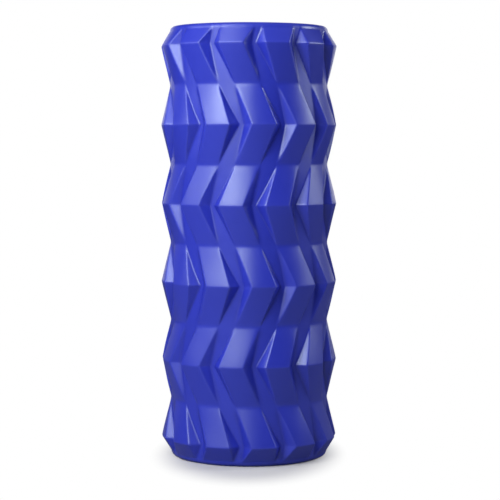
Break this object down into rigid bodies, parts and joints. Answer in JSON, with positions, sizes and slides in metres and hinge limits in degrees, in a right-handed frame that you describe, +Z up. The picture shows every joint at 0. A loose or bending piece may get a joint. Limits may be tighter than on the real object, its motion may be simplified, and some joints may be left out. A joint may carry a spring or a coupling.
{
  "type": "foam roller",
  "caption": "Hollow massage foam roller: a moulded EVA sleeve with zigzag block tread and rounded ends, bonded over a rigid open core tube.",
  "frame": {"origin": "centre of the lower end face, where the roller stands on the floor", "axes": "+Z up along the roller's axis; a block of the tread faces -Y in every valley, which is the side seen as the front"},
  "size_m": [0.1348, 0.1348, 0.33],
  "materials": {
    "core_plastic": "satin black extruded ABS",
    "eva_foam": "satin royal blue moulded EVA skin"
  },
  "bodies": {
    "root": {"core_tube": "core_plastic", "foam_sleeve": "eva_foam"}
  },
  "joints": []
}
